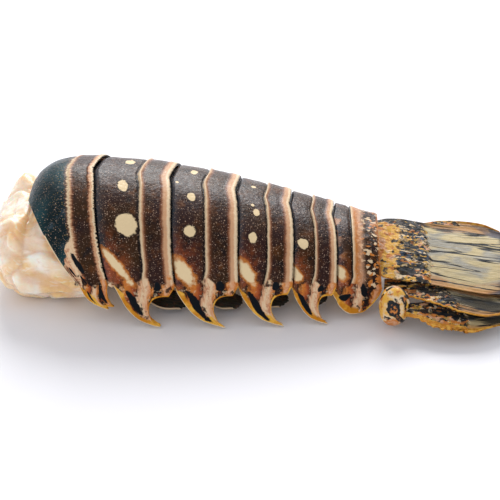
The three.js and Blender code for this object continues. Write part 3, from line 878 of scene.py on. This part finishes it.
def plate_colours(f, p, mottle, coarse):
    """Orange, cream-pink and dark columns of the side plates, streaked and broken up."""
    streak = f.noise(1.0, 4, 0.65, 0.6, vector=f.stretched((26, 22, 1), source=f.uv()))
    columns = f.ramp(f.ragged(f.field("column"), (streak, 0.22), (mottle, 0.07)), plate_stops(p))[0]
    return f.paint(
        columns, (mottle, 0.54, 0.66, p.cream, 0.45), (mottle, 0.46, 0.34, p.rust, 0.55),
        (coarse, 0.40, 0.34, p.dark, 0.9))


def dome_colours(f, p, place, broad, coarse):
    """Blue-black dome with golden freckles that grow dense towards the ridge."""
    # The blue-grey patches on the dome are a painted highlight, a bluish sheen.
    dome = f.paint(p.teal, (broad, 0.3, 0.7, p.deep), (coarse, 0.55, 0.75, p.painted_sheen, 0.4))
    dense = f.step(place, 0.30, 0.52, 0.2, 1.0)
    return f.blend(f.times(f.freckles(1500, 0.3, 0.5), dense), dome, p.gold)


def rear_colours(f, p, place, base, broad, coarse, mottle):
    """Worm marks and orange splashes of the last ring."""
    worms = f.mosaic(f.swirled(f.stretched((820, 1200, 1050)), 560, 1.6), (
        (0.0, p.dark), (0.26, p.brown), (0.50, p.plum), (0.66, p.cream), (0.80, p.orange),
        (0.90, p.warm)))
    splash = f.times(f.step(coarse, 0.52, 0.60), f.step(broad, 0.45, 0.6, 0.0, 0.8))
    return f.blend(splash, f.paint(base, (place, 0.62, 0.68, worms, 0.9)),
                   f.paint(p.orange, (mottle, 0.48, 0.54, p.pink)))


def shell_finish(name, stops, p, front, dots):
    """Glossy shell: banded brown with cream lines, spots, freckles and mottled plates."""
    f = Finish(name)
    f.feed(f.shader.inputs["Specular IOR Level"], f.step(f.field("crown"), 0.0, 1.0, 0.07, 0.16))
    broad = f.noise(70, 2)
    coarse = f.noise(210, 4, 0.6)
    mottle = f.noise(620, 4, 0.6)
    fine = f.noise(2600, 2)
    place = f.ragged(f.field("band"), (mottle, 0.035))
    base = f.paint(
        p.brown, (broad, 0.38, 0.62, p.plum), (coarse, 0.54, 0.72, p.warm), (coarse, 0.46, 0.32, p.dark),
        (mottle, 0.5, 0.7, p.warm, 0.4))
    if front == "dome":
        comb = f.noise(1.0, 2, vector=f.stretched((9, 170, 1), source=f.uv()))
        place = f.ragged(place, (comb, 0.10))
        base = f.paint(base, (place, 0.575, 0.535, dome_colours(f, p, place, broad, coarse)))
    if front == "rear":
        base = rear_colours(f, p, place, base, broad, coarse, mottle)
    flush = f.times(f.field("flush"), f.step(coarse, 0.34, 0.56))
    flush = f.times(flush, f.step(mottle, 0.35, 0.6, 0.45, 1.0))
    base = f.blend(flush, base, p.rust)
    # The banding stops carry painted shade at the lip, in the groove before the ridge and at the rear edge,
    # and a painted blue-grey highlight behind the lip.
    lines, line_share = f.ramp(place, stops)
    base = f.blend(line_share, base, lines)
    for scale, size, share, strength in ((1250, 0.28, dots, 0.75), (2300, 0.32, dots + 0.1, 0.55)):
        base = f.blend(f.freckles(scale, size, share, strength), base, p.freckle)
    marks = {key: f.ragged(f.field(key), (coarse, broken), (mottle, frayed)) for key, broken, frayed in (
        ("spot", 1.3, 0.5), ("streak", 1.2, 0.9), ("yolk", 1.4, 0.5), ("ink", 1.3, 0.6))}
    base = f.paint(
        base,
        (marks["spot"], -0.22, 0.0, p.dark, 0.6), (marks["spot"], -0.04, 0.14, p.spot),
        (f.ragged(f.field("plate"), (coarse, 0.9)), 0.44, 0.62, plate_colours(f, p, mottle, coarse)),
        (marks["streak"], -0.45, -0.05, p.orange, 0.7), (marks["streak"], -0.1, 0.3, p.spot),
        (marks["yolk"], 0.02, 0.3, f.paint(p.amber, (coarse, 0.42, 0.6, p.yolk))),
        (marks["ink"], -0.08, 0.10, p.ink), (f.field("rim"), 0.2, 0.6, p.edge))
    pits = f.add(f.times(f.cells(900).outputs["Distance"], 0.5), mottle, 0.7)
    shine = f.step(f.add(mottle, fine, 0.5), 0.5, 1.0, 0.24, 0.46)
    return f.done(base, shine, (pits, 0.00025, 0.6), (fine, 0.00008, 0.7))


def inside_finish(p):
    """Pale translucent skin that lines the shell."""
    f = Finish("shell_lining")
    coarse = f.noise(160, 4, 0.6)
    mottle = f.noise(700, 3, 0.6)
    base = f.paint(p.pink, (coarse, 0.35, 0.65, p.cream), (mottle, 0.55, 0.75, p.fringe))
    return f.done(base, f.step(mottle, 0.3, 0.7, 0.3, 0.5), (f.add(coarse, mottle, 0.4), 0.0003, 0.5))


def meat_finish(p):
    """Wet, fibrous, slightly clear raw meat."""
    f = Finish("raw_meat", subsurface_weight=0.8, subsurface_scale=0.004,
               subsurface_radius=(1.0, 0.6, 0.4), coat_weight=0.3, coat_roughness=0.16,
               specular_ior_level=0.3)
    coarse = f.noise(110, 4, 0.6)
    fibres = f.noise(1.0, 3, 0.6, 0.8, vector=f.stretched((200, 560, 560)))
    mottle = f.noise(500, 4, 0.6)
    # The crease tone on the folds between lobes is painted shade; on the fibres it is their own darker tone.
    base = f.paint(
        p.flesh, (coarse, 0.35, 0.65, p.milk),
        (f.ragged(f.field("warm"), (coarse, 1.2)), 0.0, 0.5, p.honey, 0.8),
        (fibres, 0.52, 0.66, p.milk, 0.6), (fibres, 0.45, 0.3, p.crease, 0.35),
        (f.field("fold"), 0.4, 1.0, p.crease, 0.4))
    blobs = f.cells(230, "SMOOTH_F1", f.swirled(f.place, 160, 0.006)).outputs["Distance"]
    relief = f.add(f.times(fibres, 0.6), mottle, 0.35)
    return f.done(base, f.step(mottle, 0.3, 0.7, 0.2, 0.42), (blobs, 0.0009, 0.5), (relief, 0.0004, 0.45))


# Slant of the hard part's marks, its share of ink, strength of its dark clumps and of the soft
# part's lines, number of rays, and where the orange base ends, amber begins and the blue end begins.
TELSON_TONES = {"slant": 0.45, "ink": 0.50, "clumps": 0.6, "lines": 0.5, "rays": 46,
                "base": 0.165, "gild": 0.66, "slate": 0.92}
UROPOD_TONES = {"slant": 0.15, "ink": 0.36, "clumps": 0.5, "lines": 0.6, "rays": 24,
                "base": -0.2, "gild": 0.3, "slate": 1.0}


def hard_fan(f, p, tones, coarse, mottle):
    """Hard scaly part of the fan: blue-black slivers between cream, yellow and pink flecks."""
    slant, ink = (0, 0, tones["slant"]), tones["ink"]
    slivers = f.mosaic(f.swirled(f.stretched((210, 640, 300), slant), 240, 1.8), (
        (0.0, p.ink), (ink, p.slate), (ink + 0.08, p.cream), (ink + 0.22, p.yolk), (ink + 0.31, p.pink),
        (ink + 0.40, p.orange)))
    flecks = f.mosaic(f.swirled(f.stretched((520, 1300, 700), slant), 460, 1.3), (
        (0.0, p.ink), (0.38, p.dusk), (0.50, p.gold), (0.62, p.cream), (0.80, p.yolk), (0.92, p.orange)))
    skin = f.paint(slivers, (mottle, 0.47, 0.53, flecks), (coarse, 0.47, 0.38, p.ink, tones["clumps"]))
    dark = f.ragged(f.field("dark"), (coarse, 1.5), (mottle, 0.7))
    shade = f.times(f.step(dark, 0.0, 0.18), f.step(mottle, 0.60, 0.54, 0.15, 0.95))
    return f.blend(shade, skin, p.ink)


def soft_fan(f, p, tones, coarse, toward_end, across):
    """Soft part of the fan: straw and grey zones with fine lines, dark towards its end."""
    uv, rays, gild, slate = f.uv(), tones["rays"], tones["gild"], tones["slate"]
    lines = f.noise(1.0, 3, 0.6, 0.5, vector=f.stretched((2.6, rays * 2.4, 1), source=uv))
    hairs = f.noise(1.0, 2, 0.6, 0.2, vector=f.stretched((5.0, rays * 7, 1), source=uv))
    zones = f.noise(1.0, 3, 0.5, 0.8, vector=f.stretched((3.4, 5.2, 1), source=uv))
    folds = f.isolines(f.stretched((0.8, rays * 0.24, 1), source=uv), 0.02)
    soft = f.paint(
        p.straw, (zones, 0.40, 0.62, p.grey), (lines, 0.55, 0.68, p.gold, 0.6),
        (lines, 0.44, 0.32, p.dusk, tones["lines"]), (hairs, 0.45, 0.33, p.dusk, 0.5),
        (f.ragged(f.field("edge"), (zones, 1.1)), gild, gild + 0.3, p.amber, 0.65),
        (f.ragged(f.add(toward_end, across, 0.12), (zones, 0.4)), slate, slate + 0.1, p.slate, 0.85),
        (f.ragged(f.field("dark"), (lines, 2.2), (coarse, 0.6)), 0.05, 0.35, p.ink, 0.9))
    relief = f.add(f.add(f.times(lines, 0.8), hairs, 0.6), folds, -0.8)
    return f.blend(folds, soft, p.ink), relief


def fan_finish(name, p, tones):
    """Hard scaly part in dark slivers and pale flecks, soft part with fine rays."""
    f = Finish(name, specular_ior_level=0.3)
    coarse = f.noise(190, 4, 0.6)
    mottle = f.noise(560, 4, 0.6)
    toward_end, across = f.node("SeparateXYZ", {0: f.uv()}).outputs[:2]
    soft, relief = soft_fan(f, p, tones, coarse, toward_end, across)
    flame = f.ragged(toward_end, (coarse, 0.22), (mottle, 0.12))
    flame = f.add(flame, f.step(across, 0.78, 0.88), 0.15)
    band = f.paint(
        p.yolk, (coarse, 0.50, 0.58, p.pink), (mottle, 0.52, 0.60, p.orange),
        (mottle, 0.42, 0.36, p.cream, 0.8), (coarse, 0.39, 0.35, p.dusk))
    base = f.paint(
        soft,
        (f.ragged(f.field("hard"), (mottle, 0.14)), -0.012, 0.012, hard_fan(f, p, tones, coarse, mottle)),
        (flame, tones["base"] + 0.02, tones["base"] - 0.02, band),
        (f.ragged(f.field("hem"), (coarse, 0.5), (mottle, 0.2)), 0.0, 0.12,
         f.paint(p.amber, (mottle, 0.45, 0.58, p.yolk))))
    return f.done(base, f.step(mottle, 0.3, 0.7, 0.34, 0.58), (relief, 0.0004, 0.8), (mottle, 0.00025, 0.6))


def base_finish(p):
    """Joint of the fan: cream arch over a dark curved mark, orange lobe below, mottled sides."""
    f = Finish("fan_joint", specular_ior_level=0.3)
    coarse = f.noise(240, 4, 0.6)
    mottle = f.noise(700, 4, 0.6)
    flecks = f.mosaic(f.swirled(f.stretched((340, 760, 560), (0, 0.5, 0)), 420, 1.5), (
        (0.0, p.ink), (0.30, p.dusk), (0.40, p.orange), (0.55, p.cream), (0.78, p.yolk)))
    dark = f.ragged(f.field("crescent"), (coarse, 1.4), (mottle, 0.7))
    base = f.paint(
        p.cream, (coarse, 0.42, 0.58, p.yolk), (mottle, 0.54, 0.62, p.orange),
        (coarse, 0.43, 0.37, p.dark), (f.ragged(f.field("side"), (mottle, 0.8)), -0.05, 0.1, flecks),
        (f.ragged(f.field("lobe"), (coarse, 0.7)), 0.0, 0.12,
         f.paint(p.pink, (mottle, 0.4, 0.6, p.orange))),
        (dark, 0.0, 0.12, p.ink))
    base = f.blend(f.times(f.step(dark, 0.5, 0.7), f.step(mottle, 0.50, 0.56)), base, p.orange)
    return f.done(base, f.step(mottle, 0.3, 0.7, 0.3, 0.5), (f.add(coarse, mottle, 0.6), 0.0004, 0.7))


def flap_finish(p):
    """Dark swimmeret with fine veins and a pale hem."""
    f = Finish("swimmeret_skin", coat_weight=0.3, coat_roughness=0.25)
    veins = f.noise(1.0, 3, 0.6, 0.3, vector=f.stretched((3, 34, 1), source=f.uv()))
    mottle = f.noise(800, 4, 0.6)
    base = f.paint(
        p.ink, (veins, 0.45, 0.65, p.moss), (mottle, 0.55, 0.7, p.fringe, 0.5),
        (f.field("edge"), 0.84, 0.93, p.cream))
    return f.done(base, f.step(mottle, 0.3, 0.7, 0.3, 0.5), (f.add(veins, mottle, 0.4), 0.0003, 0.6))


# --- Settings ---


def tint(name, code, description):
    return bpy.props.FloatVectorProperty(
        name=name, description=description, default=colour(code), subtype="COLOR", min=0.0, max=1.0)


def wall_size(name, description, thickness):
    return bpy.props.FloatProperty(
        name=name, description=description, default=thickness * MM, min=0.2 * MM, max=3 * MM,
        unit="LENGTH")


class LobsterColours(bpy.types.PropertyGroup):
    """Colours of the shell, the meat and the fan."""

    brown: tint("Brown", "34200F", "Main colour of the shell rings")
    plum: tint("Plum", "2E1B18", "Purple cast in the brown")
    warm: tint("Warm brown", "573317", "Warmer clouds in the brown")
    dark: tint("Dark brown", "1D1413", "Darkest clouds in the brown")
    rust: tint("Rust", "A2502A", "Orange-red flush low on the sides")
    cream: tint("Cream", "E2C8A2", "Ridge lines and flecks")
    border: tint("Border", "CB9B74", "Pink-cream border at a ring's rear edge")
    fringe: tint("Fringe", "7A4930", "Orange-brown beside the cream lines")
    spot: tint("Spot", "E4CB9F", "Large spots of the rings")
    freckle: tint("Freckle", "BFA088", "Small dots all over the rings")
    # Painted highlight: the blue-grey sheen at a ring's front and on the dome.
    painted_sheen: tint("Haze", "5A6C78", "Blue-grey cast at a ring's front")
    # Ink also paints shade: in the gaps between rings and in the grooves before the ridges.
    ink: tint("Ink", "0C1116", "Blue-black marks")
    teal: tint("Teal", "1D4146", "Dome of the first ring")
    deep: tint("Deep teal", "0D1D21", "Darker parts of the dome")
    gold: tint("Gold", "B59453", "Freckles of the dome and lines of the fan")
    orange: tint("Orange", "C87A34", "Side plates and fan")
    pink: tint("Pink", "D6A27C", "Cream-pink of the side plates")
    amber: tint("Amber", "C57F1E", "Darker yellow of the plates and the fan")
    yolk: tint("Yolk", "E2AC45", "Yellow of the plate tips and fan base")
    edge: tint("Edge", "E9D5AE", "Thin pale edge of the side plates")
    straw: tint("Straw", "CDBA8C", "Soft part of the fan")
    grey: tint("Grey", "A39E90", "Grey zones of the soft fan")
    dusk: tint("Dusk", "4A4032", "Dark rays of the soft fan")
    slate: tint("Slate", "2E3F52", "Blue end of the soft fan")
    moss: tint("Moss", "1B2722", "Green cast of the swimmerets")
    flesh: tint("Flesh", "F5DCBC", "Raw meat")
    milk: tint("Milk", "FBF2E6", "White fibres of the meat")
    honey: tint("Honey", "EFC27C", "Yellow parts of the meat")
    # On the folds between the lobes this tone is painted shade.
    crease: tint("Crease", "DDB184", "Folds between the lobes of meat")


class LobsterSizes(bpy.types.PropertyGroup):
    """Sizes of the finished pieces."""

    wall: wall_size("Shell wall", "Thickness of the shell rings", SHELL)
    fan_wall: wall_size("Fan wall", "Thickness of the fan where it is thickest", 2.0)
    flap_wall: wall_size("Swimmeret wall", "Thickness of the swimmerets", 1.0)


class LobsterStudio(bpy.types.PropertyGroup):
    """Floor, lights and camera."""

    floor: tint("Floor", "F4F3F5", "Colour of the floor")
    air: tint("Air", "F1F3FA", "Colour of the light from all round")
    air_power: bpy.props.FloatProperty(
        name="Air strength", description="Strength of the light from all round", default=0.72, min=0.0)
    key_power: bpy.props.FloatProperty(
        name="Main light", description="Power of the large light above", default=11.0, min=0.0,
        unit="POWER")
    fill_power: bpy.props.FloatProperty(
        name="Fill light", description="Power of the light beside the camera", default=1.4, min=0.0,
        unit="POWER")
    distance: bpy.props.FloatProperty(
        name="Camera distance", description="From the camera to the tail", default=0.8, min=0.1,
        unit="LENGTH")


# --- Operators ---


def place_object(name, data):
    made = bpy.data.objects.new(name, data)
    bpy.context.scene.collection.objects.link(made)
    return made


def put(name, bm, materials, slot):
    """Makes the piece, lets it ride and replaces the solid of the same name."""
    mesh = bpy.data.meshes.new(name)
    bm.to_mesh(mesh)
    bm.free()
    for material in materials:
        mesh.materials.append(material)
    mesh.shade_smooth()
    piece = place_object(name + "_skin", mesh)
    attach(piece, "root")
    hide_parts(name)
    return piece


def thicken(piece, thickness):
    """Gives a sheet its wall, inward from its surface."""
    wall = piece.modifiers.new("Wall", "SOLIDIFY")
    wall.thickness = thickness
    wall.offset = -1
    return wall


def put_blade(name, form, hand, finish, slot, thickness):
    """A blade, whose wall is thinner towards its edge and its end."""
    piece = put(name, blade_mesh(form, hand), (finish,), slot)
    wall = thicken(piece, thickness)
    wall.vertex_group = piece.vertex_groups.new(name="thickness").name
    wall.thickness_vertex_group = 0.0


class LOBSTER_OT_rings(bpy.types.Operator):
    """Shell rings with their relief, spots and side plates"""

    bl_idname = "lobster.rings"
    bl_label = "Shell rings"

    def execute(self, context):
        p = context.scene.lobster_colours
        lining = inside_finish(p)
        finishes = {
            "shell_dome": shell_finish("dome_shell", first_stops(p), p, "dome", 0.35),
            "shell_ring": shell_finish("ring_shell", band_stops(p), p, "plain", 0.5),
            "shell_rear": shell_finish("rear_shell", last_stops(p), p, "rear", 0.5),
        }
        for ring in range(1, 7):
            slot = {1: "shell_dome", 6: "shell_rear"}.get(ring, "shell_ring")
            piece = put(f"shell_{ring}", shell_mesh(ring), (finishes[slot], lining), slot)
            thicken(piece, context.scene.lobster_sizes.wall).material_offset = 1
        return {"FINISHED"}


class LOBSTER_OT_meat(bpy.types.Operator):
    """Cut meat that swells out of the shell and fills it"""

    bl_idname = "lobster.meat"
    bl_label = "Meat"

    def execute(self, context):
        put("meat", meat_mesh(), (meat_finish(context.scene.lobster_colours),), "meat")
        return {"FINISHED"}


class LOBSTER_OT_fan(bpy.types.Operator):
    """Telson, uropods and their joints"""

    bl_idname = "lobster.fan"
    bl_label = "Tail fan"

    def execute(self, context):
        p = context.scene.lobster_colours
        wall = context.scene.lobster_sizes.fan_wall
        put_blade("telson", TELSON, 1, fan_finish("telson_skin", p, TELSON_TONES), "fan", wall)
        leaf = fan_finish("uropod_skin", p, UROPOD_TONES)
        joint = base_finish(p)
        for name, hand in HANDS:
            for kind, form in (("endopod", ENDOPOD), ("exopod", EXOPOD)):
                put_blade(f"{kind}_{name}", form, hand, leaf, "fan", wall * UROPOD_WALL)
            put(f"uropod_base_{name}", base_mesh(hand), (joint,), "fan_base")
        return {"FINISHED"}


class LOBSTER_OT_flaps(bpy.types.Operator):
    """Swimmerets under the side plates"""

    bl_idname = "lobster.flaps"
    bl_label = "Swimmerets"

    def execute(self, context):
        skin = flap_finish(context.scene.lobster_colours)
        wall = context.scene.lobster_sizes.flap_wall
        for number in range(2, 6):
            for name, hand in HANDS:
                put_blade(f"swimmeret_{number}_{name}", swimmeret_form(number), hand, skin, "swimmeret", wall)
        return {"FINISHED"}


# Size and place of each light in metres
MAIN_LIGHT = (0.7, Vector((-0.05, 0.80, 0.62)))
FILL_LIGHT = (0.8, Vector((-0.35, -0.75, 0.45)))
FLOOR_SIZE = 3.0
FLOOR_CLOUDS = (0.8, 0.8, 0.82)
CAMERA_AZIMUTH, CAMERA_ELEVATION = 4.45, 32.32  # degrees
CAMERA_AIM = Vector((0, 0, 0.018))
CAMERA_LEFT, CAMERA_DOWN = 4.82 / 2360, 13.16 / 2360  # from the aim, as shares of the distance
FOCAL = 2359.98 / 500  # in picture widths


class LOBSTER_OT_stage(bpy.types.Operator):
    """Floor, soft lights and the camera"""

    bl_idname = "lobster.stage"
    bl_label = "Stage"

    def execute(self, context):
        s = context.scene.lobster_studio
        self.floor(s)
        self.light("main_light", s.key_power, *MAIN_LIGHT)
        self.light("fill_light", s.fill_power, *FILL_LIGHT)
        world = bpy.data.worlds.new("air")
        world.use_nodes = True
        background = world.node_tree.nodes["Background"]
        background.inputs["Color"].default_value = (*s.air, 1.0)
        background.inputs["Strength"].default_value = s.air_power
        context.scene.world = world
        context.scene.view_settings.view_transform = "Standard"
        self.camera(s)
        return {"FINISHED"}

    def floor(self, s):
        f = Finish("floor_paint", specular_ior_level=0.2)
        grain = f.times(f.noise(8.0, 2), 0.06)
        bm = bmesh.new()
        bmesh.ops.create_grid(bm, x_segments=4, y_segments=4, size=FLOOR_SIZE)
        mesh = bpy.data.meshes.new("floor")
        bm.to_mesh(mesh)
        bm.free()
        mesh.materials.append(f.done(f.blend(grain, s.floor, FLOOR_CLOUDS), 0.6))
        floor = place_object("floor", mesh)

    def light(self, name, power, size, place):
        lamp = bpy.data.lights.new(name, "AREA")
        lamp.energy = power
        lamp.shape = "DISK"
        lamp.size = size
        holder = place_object(name, lamp)
        holder.location = place
        holder.rotation_euler = place.to_track_quat("Z", "Y").to_euler()

    def camera(self, s):
        azimuth, elevation = math.radians(CAMERA_AZIMUTH), math.radians(CAMERA_ELEVATION)
        back = Vector((math.sin(azimuth) * math.cos(elevation),
                       -math.cos(azimuth) * math.cos(elevation), math.sin(elevation)))
        right = Vector((math.cos(azimuth), math.sin(azimuth), 0))
        up = back.cross(right)
        aim = CAMERA_AIM - right * (CAMERA_LEFT * s.distance) - up * (CAMERA_DOWN * s.distance)
        lens = bpy.data.cameras.new("camera")
        lens.lens = FOCAL * lens.sensor_width
        holder = place_object("camera", lens)
        holder.location = aim + back * s.distance
        holder.rotation_euler = back.to_track_quat("Z", "Y").to_euler()
        bpy.context.scene.camera = holder


class LOBSTER_PT_panel(bpy.types.Panel):
    """Lists the operators and the settings"""

    bl_idname = "LOBSTER_PT_panel"
    bl_label = "Lobster tail"
    bl_space_type = "VIEW_3D"
    bl_region_type = "UI"
    bl_category = "Lobster tail"

    def draw(self, context):
        for operator in OPERATORS:
            self.layout.operator(operator.bl_idname)
        for settings in ("lobster_sizes", "lobster_colours", "lobster_studio"):
            group = getattr(context.scene, settings)
            for key in group.bl_rna.properties.keys():
                if key not in ("rna_type", "name"):
                    self.layout.prop(group, key)


GROUPS = {"lobster_colours": LobsterColours, "lobster_sizes": LobsterSizes, "lobster_studio": LobsterStudio}
OPERATORS = (LOBSTER_OT_rings, LOBSTER_OT_meat, LOBSTER_OT_fan, LOBSTER_OT_flaps, LOBSTER_OT_stage)


def register():
    for kind in (*GROUPS.values(), *OPERATORS, LOBSTER_PT_panel):
        bpy.utils.register_class(kind)
    for name, group in GROUPS.items():
        setattr(bpy.types.Scene, name, bpy.props.PointerProperty(type=group))


def unregister():
    for name in GROUPS:
        delattr(bpy.types.Scene, name)
    for kind in reversed((*GROUPS.values(), *OPERATORS, LOBSTER_PT_panel)):
        bpy.utils.unregister_class(kind)


def main():
    register()
    bpy.ops.lobster.rings()
    bpy.ops.lobster.meat()
    bpy.ops.lobster.fan()
    bpy.ops.lobster.flaps()
    bpy.ops.lobster.stage()


if __name__ == "__main__":
    main()
